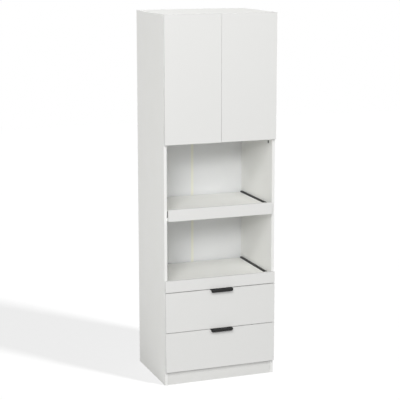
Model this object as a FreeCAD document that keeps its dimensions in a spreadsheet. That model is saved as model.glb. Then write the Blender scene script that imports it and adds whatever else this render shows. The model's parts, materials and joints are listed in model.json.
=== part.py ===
import FreeCAD, Part
import os
import re

import Sketcher
from FreeCAD import Placement, Rotation, Vector

# A tall, free-standing microwave cabinet: a two-door cupboard over two open bays with pull-out
# shelves and two drawers. X runs to the right, +Y to the back and +Z up. The origin is on the
# floor, at the centre of the box that the closed cabinet fills. All sizes are in millimetres.

os.makedirs("parts", exist_ok=True)
doc = FreeCAD.newDocument("MicrowaveCabinet")

# ---------------------------------------------------------------- driving dimensions
SIZES = (
    # the carcass
    ("width", 600, "over the two side panels"),
    ("height", 1890, "floor to top"),
    ("depth", 424, "side panel, front edge to rear edge"),
    ("board", 15, "melamine board"),
    ("lower_height", 1260, "floor to the joint between the lower and upper side panels"),
    ("plinth_height", 70, "floor to the underside of the bottom panel"),
    ("plinth_recess", 3, "plinth behind the side panels' front edges"),
    ("upper_bay_floor", 862, "underside of the fixed shelf below the upper pull-out"),
    ("lower_bay_floor", 495, "underside of the fixed shelf below the lower pull-out"),
    ("shelf_rise", 285, "cupboard floor to the adjustable shelf"),
    ("shelf_margin", 1, "adjustable shelf to each side panel"),
    ("shelf_setback", 6, "adjustable shelf behind the front edge, and ahead of the back"),
    # the back
    ("back_board", 3, "hardboard back"),
    ("back_setback", 10, "inner face of the back to the rear edge of the sides"),
    ("back_clearance", 1.5, "inner face of the back to the rear edges of the shelves"),
    ("groove_depth", 5, "back and drawer-bottom grooves"),
    ("groove_fit", 0.15, "play on each face of a panel in its groove"),
    ("groove_end_play", 0.5, "panel's edge to the floor of its groove"),
    ("back_seam_gap", 1, "lower to upper back, behind the cupboard floor's rear edge"),
    ("strip_flange", 7, "half the width of the back's joint strip"),
    ("strip_sheet", 1, "wall of the joint strip"),
    # doors and fronts
    ("front_board", 15, "doors, aprons and drawer fronts"),
    ("front_gap", 2, "fronts to the carcass"),
    ("front_margin", 1, "fronts inside the cabinet's outer faces"),
    ("door_meeting", 1.0, "gap between the two doors"),
    ("door_top_margin", 1.5, "door top below the cabinet's top"),
    ("door_grip", 13, "doors below the cupboard floor, where fingers take hold"),
    ("buffer_radius", 4, "stick-on door buffer"),
    ("buffer_offset", 20, "door buffers to the cabinet's middle"),
    ("buffer_thickness", 1.7, "stick-on door buffer"),
    # pull-out shelves
    ("apron_height", 60, "front strip of each pull-out shelf"),
    ("apron_drop", 2, "apron below the fixed shelf's underside"),
    ("apron_side_gap", 3, "upper apron to each side panel"),
    ("pullout_rear_gap", 14, "pull-out shelf board to the back"),
    # drawers
    ("drawer_bottom", 72, "floor to the lower drawer front"),
    ("drawer_gap", 3, "between the two drawer fronts"),
    ("drawer_top_gap", 3.5, "upper drawer front to the lower apron"),
    ("box_drop", 33.25, "drawer box below its front's upper edge"),
    ("box_rear_gap", 26, "drawer box to the back"),
    ("box_rise", 24, "drawer box above its front's lower edge"),
    ("box_slide_rise", 60, "slide axis above the drawer box's lower edge"),
    ("box_bottom_sheet", 4, "drawer bottom"),
    ("box_bottom_rise", 10, "drawer bottom above the box's lower edge"),
    # edge pulls
    ("pull_length", 120, "edge pull, left to right"),
    ("pull_reach", 18, "edge pull ahead of the drawer front"),
    ("pull_lip", 14, "height of the pull's front lip"),
    ("pull_sheet", 1.5, "steel sheet"),
    ("pull_flange", 18, "flange behind the drawer front"),
    ("pull_corner", 10, "radius at the lip's lower corners"),
    ("pull_bend", 2.5, "outer radius of the bend"),
    # three-member ball-bearing slides
    ("slide_height", 27, "outer member"),
    ("slide_thickness", 12.7, "wall to drawer side"),
    ("slide_setback", 1, "outer member behind the side panel's front edge"),
    ("slide_rear_gap", 13, "slides to the back"),
    ("slide_lift", 2, "outer member above the fixed shelf"),
    ("slide_sheet", 1.2, "steel sheet of the outer and inner members"),
    ("slide_race", 2.3, "middle member's lip with its ball races"),
    ("slide_play", 0.4, "between one member and the next"),
    ("slide_web_gap", 1.2, "outer member's web to the middle member's web"),
    ("slide_lip", 10.5, "depth of the outer member's lips"),
    # concealed hinges
    ("hinge_inset", 100, "hinge axis height from the door's upper and lower edge"),
    ("cup_radius", 17.4, "hinge cup, in a 35 mm bore"),
    ("cup_wall", 0.8, "hinge cup"),
    ("cup_depth", 12, "hinge cup"),
    ("cup_play", 0.1, "hinge cup in its bore"),
    ("cup_centre", 7.5, "cup centre inboard of the side panel's inner face"),
    ("cup_flange_width", 13, "flange on the door's inner face"),
    ("cup_flange_length", 52, "flange on the door's inner face"),
    ("arm_pivot", 20.5, "arm's pivot inboard of the side panel's inner face"),
    ("arm_pivot_depth", 7.2, "arm's pivot below the cup's mouth"),
    ("link_reach", 22.2, "across the cabinet, from the arm's pivot to the cup's pivot"),
    ("cup_pivot_depth", 4.5, "cup's pivot below the cup's mouth"),
    ("arm_width", 10.4, "hinge arm, along the pin"),
    ("link_width", 6.4, "hinge link, along the pin"),
    ("link_play", 0.4, "link to each cheek and lug"),
    ("pin_radius", 1, "hinge pin"),
    ("pin_play", 0.05, "hinge pin in its holes"),
    ("knuckle_wall", 0.9, "link's metal around each pin"),
    ("lug_half", 2.3, "half the width of the cup's lugs"),
    ("lug_sheet", 1.6, "cup's lugs"),
    ("nose_half", 2, "half the thickness of the arm's nose"),
    ("arm_slot", 6, "slot for the link, ahead of the arm's pivot and behind it"),
    ("arm_elbow", 9, "where the nose meets the arm, inboard of the side panel and behind its front edge"),
    ("arm_shoulder", 16, "front of the arm's straight part, behind the front edge"),
    ("arm_tail", 62, "rear of the arm, behind the front edge"),
    ("arm_thickness", 6, "hinge arm on its plate"),
    ("plate_sheet", 2.5, "hinge mounting plate"),
    ("plate_height", 50, "hinge mounting plate"),
    ("plate_front", 28, "mounting plate's front end, behind the front edge"),
    ("plate_rear", 60, "mounting plate's rear end, behind the front edge"),
    ("plate_screw_step", 16, "plate screws above and below the hinge axis"),
    ("system_row", 37, "hinge screws and shelf pins behind the front edge"),
    # cams, bolts, pins and screws
    ("cam_radius", 7.5, "cam lock"),
    ("cam_height", 12.5, "cam lock"),
    ("cam_distance", 34, "cam's centre to the end of its board"),
    ("cam_setback", 80, "cams in the boards, to the front edge and to the shelves' rear edges"),
    ("joint_setback", 50, "cams where the side panels meet, to the front edge and the shelves' rear"),
    ("cam_slot_depth", 1.5, "cam's cross slot"),
    ("cam_slot_width", 1.4, "cam's cross slot"),
    ("cam_slot_length", 8, "cam's cross slot"),
    ("corner_step", 30, "cams to the upper and lower edges of the drawer box"),
    ("apron_step", 60, "outer apron cams to the ends of the pull-out board"),
    ("cam_play", 0.1, "cam in its pocket"),
    ("cap_radius", 8, "cap over a cam that shows"),
    ("cap_thickness", 1.2, "cap over a cam that shows"),
    ("bolt_radius", 3.2, "cam bolt"),
    ("bolt_thread_radius", 2.4, "cam bolt's thread"),
    ("bolt_thread_length", 11, "cam bolt in the far board"),
    ("bolt_play", 0.3, "cam bolt in its bore"),
    ("shelf_pin_radius", 2.5, "shelf pin in its hole"),
    ("shelf_pin_head", 3.5, "shelf pin under the shelf"),
    ("shelf_pin_depth", 8, "shelf pin's hole"),
    ("shelf_pin_pitch", 64, "between the rows that the adjustable shelf can use"),
    ("screw_radius", 1.75, "wood screw"),
    ("screw_length", 12, "wood screw in its board"),
    ("screw_head_radius", 3.2, "wood screw's flat head"),
    ("screw_head", 0.7, "wood screw's flat head"),
    ("screw_play", 0.5, "screw's or pin's end to the bottom of its hole"),
    ("slide_screw_front", 30, "first slide screw behind the slide's front end"),
    ("slide_screw_rear", 40, "last slide screw ahead of the slide's rear end"),
    ("through", 2, "how far a drill starts and ends outside the sheet that it passes through"),
    ("drill_play", 0.05, "screw, pin or thread in its hole"),
    # wall bracket
    ("bracket_width", 60, "anti-tip bracket"),
    ("bracket_leg", 40, "anti-tip bracket"),
    ("bracket_sheet", 2, "anti-tip bracket"),
    ("bracket_hole_radius", 2.75, "wall screw's hole"),
    ("bracket_hole_spacing", 40, "between the two wall screws"),
    ("bracket_hole_drop", 25, "wall screws below the top panel"),
)

sheet = doc.addObject("Spreadsheet::Sheet", "Sizes")
for row, (alias, value, note) in enumerate(SIZES, start=1):
    sheet.set(f"A{row}", alias)
    sheet.set(f"B{row}", str(value))
    sheet.set(f"C{row}", note)
    sheet.setAlias(f"B{row}", alias)
doc.recompute()

# ---------------------------------------------------------------- planes worked out from them
HALF = "(width/2)"
WALL = "(width/2 - board)"
FRONT = "((pull_reach + front_board + front_gap - depth)/2)"
REAR = f"({FRONT} + depth)"
BACK_FACE = f"({REAR} - back_setback)"
SHELF_REAR = f"({BACK_FACE} - back_clearance)"
FACE_BACK = f"({FRONT} - front_gap)"
FACE_FRONT = f"({FACE_BACK} - front_board)"
TOP_UNDERSIDE = "(height - board)"
SHELF_UNDERSIDE = "(lower_height + board + shelf_rise)"
DOOR_TOP = "(height - door_top_margin)"
DOOR_BOTTOM = "(lower_height - door_grip)"
DRAWER_HEIGHT = "((lower_bay_floor - apron_drop - drawer_top_gap - drawer_bottom - drawer_gap)/2)"
UPPER_DRAWER_BOTTOM = f"(drawer_bottom + {DRAWER_HEIGHT} + drawer_gap)"
SLIDE_FRONT = f"({FRONT} + slide_setback)"
SLIDE_LENGTH = "(depth - back_setback - slide_rear_gap - slide_setback)"
MOVING_WALL = f"({WALL} - slide_thickness)"

# ---------------------------------------------------------------- small tools
ALIASES = re.compile(r"\b(" + "|".join(alias for alias, _, _ in SIZES) + r")\b")
ALONG = {
    "+x": Rotation(Vector(0, 1, 0), 90),
    "-x": Rotation(Vector(0, 1, 0), -90),
    "+y": Rotation(Vector(1, 0, 0), -90),
    "-y": Rotation(Vector(1, 0, 0), 90),
    "+z": Rotation(),
}
nodes = []
drillings = {}


def bind(thing, target, formula):
    """Ties one property of an object to a formula in the named sizes."""
    thing.setExpression(target, ALIASES.sub(r"Sizes.\1", str(formula)))


def value_of(formula):
    """The present value of a formula, to draw a sketch before its constraints are tied."""
    return float(doc.Sizes.evalExpression(ALIASES.sub(r"Sizes.\1", str(formula))))


def put(thing, place, turn=None):
    """Turns an object, then ties its position to three formulas."""
    if turn is not None:
        thing.Placement = Placement(Vector(), turn)
    for letter, formula in zip("xyz", place):
        bind(thing, f"Placement.Base.{letter}", formula)
    return thing


def block(name, x, y, z):
    """A box between two formulas along each axis."""
    box = doc.addObject("Part::Box", name)
    for side, letter, (low, high) in (("Length", "x", x), ("Width", "y", y), ("Height", "z", z)):
        bind(box, side, f"({high}) - ({low})")
        bind(box, f"Placement.Base.{letter}", low)
    return box


def rod(name, radius, length, place, along="+z"):
    """A cylinder from a place, along one axis."""
    cylinder = doc.addObject("Part::Cylinder", name)
    bind(cylinder, "Radius", radius)
    bind(cylinder, "Height", length)
    return put(cylinder, place, ALONG[along])


def compound(name, members):
    """Separate solids held together as one group."""
    group = doc.addObject("Part::Compound", name)
    group.Links = members
    return group


def cut(name, base, tools):
    """The base with every tool taken out of it."""
    result = doc.addObject("Part::Cut", name)
    result.Base = base
    if len(tools) == 1:
        result.Tool = tools[0]
        return result
    joined = doc.addObject("Part::MultiFuse", name + "Tools")
    joined.Shapes = tools
    result.Tool = joined
    return result


def fuse(name, pieces):
    """Pieces made as one, such as a bolt's shaft and thread."""
    result = doc.addObject("Part::MultiFuse", name)
    result.Shapes = pieces
    return result


def copy_at(name, source, place, turn=None):
    """The same hardware again at another place."""
    link = doc.addObject("App::Link", name)
    link.LinkedObject = source
    return put(link, place, turn)


def mirror(name, source):
    """The right-hand twin of a left-hand piece, across the cabinet's middle plane."""
    twin = doc.addObject("Part::Mirroring", name)
    twin.Source = source
    twin.Base = Vector(0, 0, 0)
    twin.Normal = Vector(1, 0, 0)
    return twin


def both_sides(name, pieces):
    """A group of left-hand pieces, and its right-hand twin."""
    group = compound(f"{name}Left", pieces)
    return [group, mirror(f"{name}Right", group)]


def node(label, shape):
    """Names a finished piece, which gives its file its name."""
    shape.Label = label
    nodes.append(shape)
    return shape


def drill(board_name, tool):
    """Keeps a hole, pocket or groove for a board that is cut once all its fittings are placed."""
    drillings.setdefault(board_name, []).append(tool)


def origin_plane(body, role):
    """One of a body's own three origin planes."""
    return [plane for plane in body.Origin.OriginFeatures if plane.Role == role][0]


def profile(name, role, corners, length, both_ways=False):
    """A straight-sided outline, each corner two formulas, drawn on a plane and made a bar."""
    body = doc.addObject("PartDesign::Body", name)
    sketch = body.newObject("Sketcher::SketchObject", name + "Outline")
    sketch.AttachmentSupport = [(origin_plane(body, role), "")]
    sketch.MapMode = "FlatFace"
    count = len(corners)
    places = []
    for across, up in corners:
        places.append(Vector(value_of(across), value_of(up), 0))
    for i in range(count):
        sketch.addGeometry(Part.LineSegment(places[i], places[(i + 1) % count]), False)
    for i in range(count):
        sketch.addConstraint(Sketcher.Constraint("Coincident", i, 2, (i + 1) % count, 1))
    for i, (across, up) in enumerate(corners):
        for kind, size, formula in (("DistanceX", places[i].x, across), ("DistanceY", places[i].y, up)):
            index = sketch.addConstraint(Sketcher.Constraint(kind, -1, 1, i, 1, size))
            sketch.renameConstraint(index, f"{kind}{i}")
            bind(sketch, f"Constraints.{kind}{i}", formula)
    pad = body.newObject("PartDesign::Pad", name + "Bar")
    pad.Profile = sketch
    bind(pad, "Length", length)
    if both_ways:
        pad.Midplane = True
    else:
        pad.Reversed = role == "XZ_Plane"
    doc.recompute()
    return body


def round_edges(body, name, radius, wanted):
    """Rounds the edges of a body's last feature that a test picks."""
    last = body.Tip
    picked = []
    for index, edge in enumerate(last.Shape.Edges, start=1):
        if wanted(edge):
            picked.append(f"Edge{index}")
    fillet = body.newObject("PartDesign::Fillet", name)
    fillet.Base = (last, picked)
    bind(fillet, "Radius", radius)
    doc.recompute()
    return body


# ---------------------------------------------------------------- carcass boards
LEFT_SIDE = (f"-{HALF}", f"-{WALL}")
ACROSS = (f"-{WALL}", WALL)
DEEP = (FRONT, REAR)
SHELF_DEEP = (FRONT, SHELF_REAR)

boards = {
    "side_lower": block("SideLower", LEFT_SIDE, DEEP, ("0", "lower_height")),
    "side_upper": block("SideUpper", LEFT_SIDE, DEEP, ("lower_height", "height")),
    "top_panel": block("TopPanel", ACROSS, DEEP, (TOP_UNDERSIDE, "height")),
}
# each fixed board between the sides, and where its underside lies
FIXED = {
    "top_panel": TOP_UNDERSIDE,
    "cupboard_floor": "lower_height",
    "upper_fixed_shelf": "upper_bay_floor",
    "lower_fixed_shelf": "lower_bay_floor",
    "bottom_panel": "plinth_height",
}
for name, underside in FIXED.items():
    if name not in boards:
        boards[name] = block(name.title(), ACROSS, SHELF_DEEP, (underside, f"{underside} + board"))

plinth_y = f"{FRONT} + plinth_recess"
PLINTH_DEEP = {
    "plinth_front": (plinth_y, f"{plinth_y} + board"),
    "plinth_rear": (f"{SHELF_REAR} - board", SHELF_REAR),
}
for name, deep in PLINTH_DEEP.items():
    boards[name] = block(name.title(), ACROSS, deep, ("0", "plinth_height"))

shelf_x = f"{WALL} - shelf_margin"
node("cupboard_shelf", block(
    "CupboardShelf", (f"-({shelf_x})", shelf_x),
    (f"{FRONT} + shelf_setback", f"{SHELF_REAR} - shelf_setback"),
    (SHELF_UNDERSIDE, f"{SHELF_UNDERSIDE} + board")))

# ---------------------------------------------------------------- the grooved back
groove_y = (f"{BACK_FACE} - groove_fit", f"{BACK_FACE} + back_board + groove_fit")
groove_x = (f"-{WALL} - groove_depth", f"-{WALL}")
drill("side_lower", block("GrooveLower", groove_x, groove_y, ("0", "lower_height")))
groove_top = f"{TOP_UNDERSIDE} + groove_depth"
drill("side_upper", block("GrooveUpper", groove_x, groove_y, ("lower_height", groove_top)))
drill("top_panel", block("GrooveTop", ACROSS, groove_y, (TOP_UNDERSIDE, groove_top)))

back_y = (BACK_FACE, f"{BACK_FACE} + back_board")
in_groove = "(groove_depth - groove_end_play)"
boards["back_upper"] = block(
    "BackUpper", (f"-{WALL} - {in_groove}", f"{WALL} + {in_groove}"), back_y,
    ("lower_height + board/2 + back_seam_gap/2", f"{TOP_UNDERSIDE} + {in_groove}"))
BACK_SEAM = "(lower_height + board/2 - back_seam_gap/2)"
back_left = node("back_lower_left", block(
    "BackLowerLeft", (f"-{WALL} - {in_groove}", "-strip_sheet"), back_y, ("plinth_height", BACK_SEAM)))
node("back_lower_right", mirror("BackLowerRight", back_left))

# an H-shaped plastic strip joins the two halves down the middle
strip_front = f"{BACK_FACE} - groove_fit"
strip_back = f"{BACK_FACE} + back_board + groove_fit"
web = "strip_sheet/2"
strip = profile("BackStrip", "XY_Plane", (
    ("-strip_flange", f"{strip_front} - strip_sheet"),
    ("strip_flange", f"{strip_front} - strip_sheet"),
    ("strip_flange", strip_front),
    (web, strip_front),
    (web, strip_back),
    ("strip_flange", strip_back),
    ("strip_flange", f"{strip_back} + strip_sheet"),
    ("-strip_flange", f"{strip_back} + strip_sheet"),
    ("-strip_flange", strip_back),
    (f"-{web}", strip_back),
    (f"-{web}", strip_front),
    ("-strip_flange", strip_front)), f"{BACK_SEAM} - plinth_height")
bind(strip, "Placement.Base.z", "plinth_height")
node("back_joint_strip", strip)

# ---------------------------------------------------------------- cams and their bolts
# In a cam joint, z = 0 is the face of the board that holds the cam, +Z goes into that board, and the
# bolt leaves along +X, at mid board, into the board beyond.
slot_long = ("-cam_slot_length/2", "cam_slot_length/2")
slot_wide = ("-cam_slot_width/2", "cam_slot_width/2")
slot_deep = ("-through", "cam_slot_depth")
cam = cut("Cam", rod("CamDisc", "cam_radius", "cam_height", ("0", "0", "0")), [
    rod("CamBore", "bolt_radius + bolt_play", "2*cam_radius", ("-bolt_radius", "0", "board/2"), "+x"),
    block("CamSlotLong", slot_long, slot_wide, slot_deep),
    block("CamSlotCross", slot_wide, slot_long, slot_deep)])
mid_board = ("0", "0", "board/2")
bolt = fuse("Bolt", [
    rod("BoltShaft", "bolt_radius", "cam_distance", mid_board, "+x"),
    rod("BoltThread", "bolt_thread_radius", "cam_distance + bolt_thread_length", mid_board, "+x")])
cam_drilling = fuse("CamDrilling", [
    rod("CamPocket", "cam_radius + cam_play", "cam_height + cam_play", ("0", "0", "0")),
    rod("CamBoltBore", "bolt_radius + bolt_play", "cam_distance", mid_board, "+x")])
bolt_drilling = rod("BoltHole", "bolt_thread_radius + drill_play", "bolt_thread_length + bolt_play",
                    ("cam_distance", "0", "board/2"), "+x")
bolt_hole = compound("BoltHoleAt", [bolt_drilling])


def cam_joint(tag, place, turn, cam_board, far_board=None):
    """A cam and its bolt, with the holes for them in the two boards that they join."""
    drill(cam_board, copy_at(f"{tag}Drilling", cam_drilling, place, turn))
    if far_board:
        drill(far_board, copy_at(f"{tag}Hole", bolt_hole, place, turn))
    return [copy_at(f"{tag}Cam", cam, place, turn), copy_at(f"{tag}Bolt", bolt, place, turn)]


def facing(bolt_way, cam_way):
    """The turn that points a joint's bolt one way and its cam into the board another way."""
    return Rotation(Vector(*bolt_way), Vector(*cam_way).cross(Vector(*bolt_way)), Vector(*cam_way), "ZXY")


LEFT, RIGHT = (-1, 0, 0), (1, 0, 0)
AHEAD, BEHIND = (0, -1, 0), (0, 1, 0)
DOWN, UP = (0, 0, -1), (0, 0, 1)
ENDS = (("Left", LEFT, ""), ("Right", RIGHT, "-"))
joints = []
for name, underside in FIXED.items():
    side = "side_upper" if name in ("top_panel", "cupboard_floor") else "side_lower"
    for row, y in (("Front", f"{FRONT} + cam_setback"), ("Rear", f"{SHELF_REAR} - cam_setback")):
        for end, outward, sign in ENDS:
            place = (f"{sign}(-{WALL} + cam_distance)", y, underside)
            joints.append(cam_joint(name.title() + row + end, place, facing(outward, UP),
                                    name, side if end == "Left" else None))
for name, y, into in (("plinth_front", PLINTH_DEEP["plinth_front"][1], AHEAD),
                      ("plinth_rear", PLINTH_DEEP["plinth_rear"][0], BEHIND)):
    for end, outward, sign in ENDS:
        place = (f"{sign}(-{WALL} + cam_distance)", y, "plinth_height/2")
        joints.append(cam_joint(name.title() + end, place, facing(outward, into),
                                name, "side_lower" if end == "Left" else None))

# The lower and upper side panels meet end to end on double-ended bolts, with a cam in each panel
# and a dark cap over the cams that show in the open bay.
joint_x = f"-{WALL} - board/2"
joint_low = "lower_height - cam_distance"
joint_cams = []
joint_bolts = []
caps = []
for row, y in (("Front", f"{FRONT} + joint_setback"), ("Rear", f"{SHELF_REAR} - joint_setback")):
    for level, bolt_way, z in (("lower", UP, joint_low), ("upper", DOWN, "lower_height + cam_distance")):
        place = (f"-{WALL}", y, z)
        turn = facing(bolt_way, LEFT)
        joint_cams.append(copy_at(f"JointCam{level}{row}", cam, place, turn))
        drill(f"side_{level}", copy_at(f"JointDrilling{level}{row}", cam_drilling, place, turn))
    joint_bolts.append(rod(f"JointBolt{row}", "bolt_radius", "2*cam_distance", (joint_x, y, joint_low)))
    caps.append(rod(f"Cap{row}", "cap_radius", "cap_thickness", (f"-{WALL}", y, joint_low), "+x"))
node("cam_locks", compound("CamLocks", [pair[0] for pair in joints] + both_sides("JointCams", joint_cams)))
node("cam_bolts", compound("CamBolts", [pair[1] for pair in joints] + both_sides("JointBolts", joint_bolts)))
node("cam_caps", compound("CamCaps", both_sides("Caps", caps)))

# ---------------------------------------------------------------- adjustable shelf's pins
pin_z = f"({SHELF_UNDERSIDE} - shelf_pin_head)"
pins = []
for row, y in (("Front", f"{FRONT} + system_row"), ("Rear", f"{SHELF_REAR} - system_row")):
    pins.append(fuse(f"ShelfPin{row}", [
        rod(f"ShelfPinShank{row}", "shelf_pin_radius - drill_play", "shelf_pin_depth - screw_play",
            (f"-{WALL}", y, pin_z), "-x"),
        rod(f"ShelfPinHead{row}", "shelf_pin_head", "shelf_pin_depth", (f"-{WALL}", y, pin_z), "+x")]))
    for step in (-1, 0, 1):
        z = f"{pin_z} + {step}*shelf_pin_pitch"
        drill("side_upper", rod(
            f"PinHole{row}{step + 1}", "shelf_pin_radius", "shelf_pin_depth", (f"-{WALL}", y, z), "-x"))
node("shelf_pins", compound("ShelfPins", both_sides("ShelfPins", pins)))

# ---------------------------------------------------------------- wood screws
# The screw runs along +Z into its board from z = 0. Its flat head stands on the other side, on a
# sheet of the given thickness.
screws = {}
for use, sheet_size in (("Slide", "slide_sheet"), ("Hinge", "plate_sheet"), ("Pull", "pull_sheet"),
                        ("Bracket", "bracket_sheet")):
    shank = rod(f"{use}Shank", "screw_radius", f"screw_length + {sheet_size}", ("0", "0", f"-{sheet_size}"))
    head = rod(f"{use}Head", "screw_head_radius", "screw_head", ("0", "0", f"-{sheet_size} - screw_head"))
    screws[use] = fuse(f"{use}Screw", [shank, head])
HOLE = "screw_radius + drill_play"
HOLE_DEPTH = "screw_length + screw_play"

# ---------------------------------------------------------------- three-member slides
half = "slide_height/2"
outer_inside = f"({half} - slide_sheet)"
middle_outside = f"({outer_inside} - slide_play)"
middle_inside = f"({middle_outside} - slide_race)"
inner_outside = f"({middle_inside} - slide_play)"
inner_inside = f"({inner_outside} - slide_sheet)"
middle_web = "(slide_sheet + slide_web_gap)"
inner_web = "(slide_thickness - slide_sheet)"
inner_lip = f"({middle_web} + slide_sheet + slide_play)"
MEMBERS = {
    "outer": (("0", "slide_sheet"), "slide_lip", f"({half})", outer_inside),
    "middle": ((middle_web, f"({middle_web} + slide_sheet)"), "slide_lip", middle_outside, middle_inside),
    "inner": (("slide_thickness", inner_web), inner_lip, inner_outside, inner_inside),
}
slide_members = {}
for member, ((web_back, web_face), lip, outside, inside) in MEMBERS.items():
    slide_members[member] = profile(f"Slide{member.title()}", "XZ_Plane", (
        (web_back, f"-{outside}"), (lip, f"-{outside}"), (lip, f"-{inside}"), (web_face, f"-{inside}"),
        (web_face, inside), (lip, inside), (lip, outside), (web_back, outside)), SLIDE_LENGTH)
SCREW_STEPS = ("slide_screw_front", f"{SLIDE_LENGTH}/2", f"{SLIDE_LENGTH} - slide_screw_rear")
for member, web_x in (("outer", "0"), ("inner", inner_web)):
    holes = []
    for index, step in enumerate(SCREW_STEPS):
        holes.append(rod(f"Slide{member}Hole{index}", HOLE, "slide_sheet + 2*through",
                         (f"{web_x} - through", step, "0"), "+x"))
    slide_members[member] = cut(f"Slide{member.title()}Drilled", slide_members[member], holes)

# where each pair of slides runs, and what it carries
SLIDE_AXES = {
    "pullout_upper": "(upper_bay_floor + board + slide_lift + slide_height/2)",
    "pullout_lower": "(lower_bay_floor + board + slide_lift + slide_height/2)",
    "drawer_upper": f"({UPPER_DRAWER_BOTTOM} + box_rise + box_slide_rise)",
    "drawer_lower": "(drawer_bottom + box_rise + box_slide_rise)",
}
outer_members = []
carcass_screws = []
moving_screws = {}
for carried, z in SLIDE_AXES.items():
    tag = carried.title()
    place = (f"-{WALL}", SLIDE_FRONT, z)
    outer_members.append(copy_at(f"Outer{tag}", slide_members["outer"], place))
    for member in ("middle", "inner"):
        left = copy_at(f"{member.title()}{tag}", slide_members[member], place)
        node(f"{carried}_slide_{member}", compound(
            f"{member.title()}Pair{tag}", both_sides(f"{member.title()}{tag}", [left])))
    moving_left = []
    for index, step in enumerate(SCREW_STEPS):
        y = f"{SLIDE_FRONT} + {step}"
        on_wall = (f"-{WALL}", y, z)
        on_moving = (f"-{MOVING_WALL}", y, z)
        carcass_screws.append(copy_at(f"SideScrew{tag}{index}", screws["Slide"], on_wall, ALONG["-x"]))
        drill("side_lower", rod(f"SideHole{tag}{index}", HOLE, HOLE_DEPTH, on_wall, "-x"))
        moving_left.append(copy_at(f"MovingScrew{tag}{index}", screws["Slide"], on_moving, ALONG["+x"]))
        target = carried if carried.startswith("pullout") else f"{carried}_side"
        hole = rod(f"MovingHole{tag}{index}", HOLE, HOLE_DEPTH, on_moving, "+x")
        drill(target, hole)
        if carried.startswith("pullout"):
            drill(target, mirror(f"MovingHoleRight{tag}{index}", hole))
    moving_screws[carried] = both_sides(f"MovingScrews{tag}", moving_left)
node("slide_outer_members", compound("OuterMembers", both_sides("Outer", outer_members)))

# ---------------------------------------------------------------- pull-out shelves
APRON_CAMS = (f"-{MOVING_WALL} + apron_step", "0", f"{MOVING_WALL} - apron_step")
for carried, bay, apron_x in (("pullout_upper", "upper_bay_floor", f"{WALL} - apron_side_gap"),
                              ("pullout_lower", "lower_bay_floor", f"{HALF} - front_margin")):
    tag = carried.title()
    underside = f"({SLIDE_AXES[carried]} - board/2)"
    apron_z = f"{bay} - apron_drop"
    shelf = block(f"Board{tag}", (f"-{MOVING_WALL}", MOVING_WALL),
                  (FACE_BACK, f"{BACK_FACE} - pullout_rear_gap"), (underside, f"{underside} + board"))
    apron = block(f"Apron{tag}", (f"-({apron_x})", apron_x), (FACE_FRONT, FACE_BACK),
                  (apron_z, f"{apron_z} + apron_height"))
    fittings = list(moving_screws[carried])
    for index, x in enumerate(APRON_CAMS):
        fittings += cam_joint(f"Apron{tag}{index}", (x, f"{FACE_BACK} + cam_distance", underside),
                              facing(AHEAD, UP), carried, f"{carried}_apron")
    node(f"{carried}_board", cut(f"Shelf{tag}", shelf, drillings.pop(carried)))
    node(f"{carried}_apron", cut(f"Front{tag}", apron, drillings.pop(f"{carried}_apron")))
    node(f"{carried}_fixings", compound(f"Fixings{tag}", fittings))

# ---------------------------------------------------------------- drawers with edge pulls
box_inside = f"({MOVING_WALL} - board)"
box_end = f"({BACK_FACE} - box_rear_gap)"
box_height = f"({DRAWER_HEIGHT} - box_rise - box_drop)"
PULL_SCREWS = ("-pull_length/4", "pull_length/4")
pull_back = f"{FACE_BACK} + pull_sheet"
pull_front = f"{FACE_FRONT} - pull_reach"
pull = profile("Pull", "YZ_Plane", (
    (pull_front, "pull_sheet - pull_lip"),
    (f"{pull_front} + pull_sheet", "pull_sheet - pull_lip"),
    (f"{pull_front} + pull_sheet", "0"),
    (FACE_BACK, "0"),
    (FACE_BACK, "-pull_flange"),
    (pull_back, "-pull_flange"),
    (pull_back, "pull_sheet"),
    (pull_front, "pull_sheet")), "pull_length", both_ways=True)
NEAR = 1e-6
lip_y = value_of(pull_front)
lip_z = value_of("pull_sheet - pull_lip")
flange_z = value_of("-pull_flange")
sheet_top = value_of("pull_sheet")


def along_y_at(edge, z):
    """Is this edge straight, through the sheet, at the given height?"""
    ends = [vertex.Point for vertex in edge.Vertexes]
    level = all(abs(end.z - z) < NEAR for end in ends)
    return level and len(ends) == 2 and abs(ends[0].y - ends[1].y) > NEAR


def outer_bend(edge):
    """Is this edge the top front edge, where the sheet is bent down into the lip?"""
    ends = [vertex.Point for vertex in edge.Vertexes]
    return all(abs(end.y - lip_y) < NEAR and abs(end.z - sheet_top) < NEAR for end in ends)


round_edges(pull, "PullLipCorners", "pull_corner", lambda edge: along_y_at(edge, lip_z))
round_edges(pull, "PullFlangeCorners", "pull_corner/2", lambda edge: along_y_at(edge, flange_z))
round_edges(pull, "PullBend", "pull_bend", outer_bend)
pull_screw_z = "-pull_flange/2"
pull_holes = []
for index, x in enumerate(PULL_SCREWS):
    place = (x, f"{FACE_BACK} - through", pull_screw_z)
    pull_holes.append(rod(f"PullHole{index}", HOLE, "pull_sheet + 2*through", place, "+y"))
pull_drilled = cut("PullDrilled", pull, pull_holes)

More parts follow.
